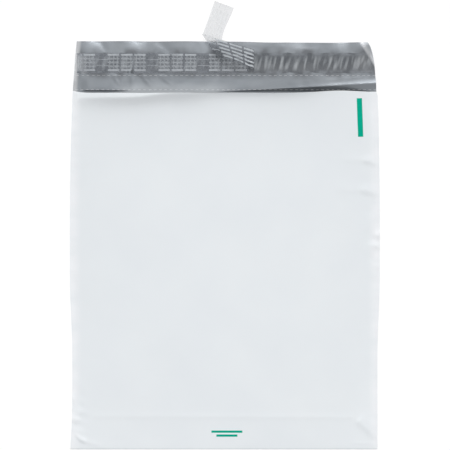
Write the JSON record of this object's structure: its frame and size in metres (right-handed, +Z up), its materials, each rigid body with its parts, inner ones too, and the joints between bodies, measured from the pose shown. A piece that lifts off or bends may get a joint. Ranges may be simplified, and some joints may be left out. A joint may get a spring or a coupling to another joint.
{
  "type": "poly mailer bag",
  "caption": "Flat plastic film mailing bag, open at one end, with a self-seal flap, perforations and a half-peeled release liner.",
  "frame": {"origin": "middle of the whole outline seen from above, on the surface that the bag lies on", "axes": "+X across the bag, +Y from the bottom fold towards the flap, +Z up, out of the front panel"},
  "size_m": [0.2802, 0.4064, 0.0128],
  "materials": {
    "film": "satin white film outside, silver grey inside",
    "adhesive": "glossy, rippled, dark grey through the clear adhesive",
    "liner": "translucent satin film with a white pattern",
    "ink": "flat green ink"
  },
  "bodies": {
    "root": {"mailer_film": "film", "adhesive_strip": "adhesive", "release_liner": "liner", "printed_bar": "ink", "printed_line_upper": "ink", "printed_line_lower": "ink"}
  },
  "joints": []
}
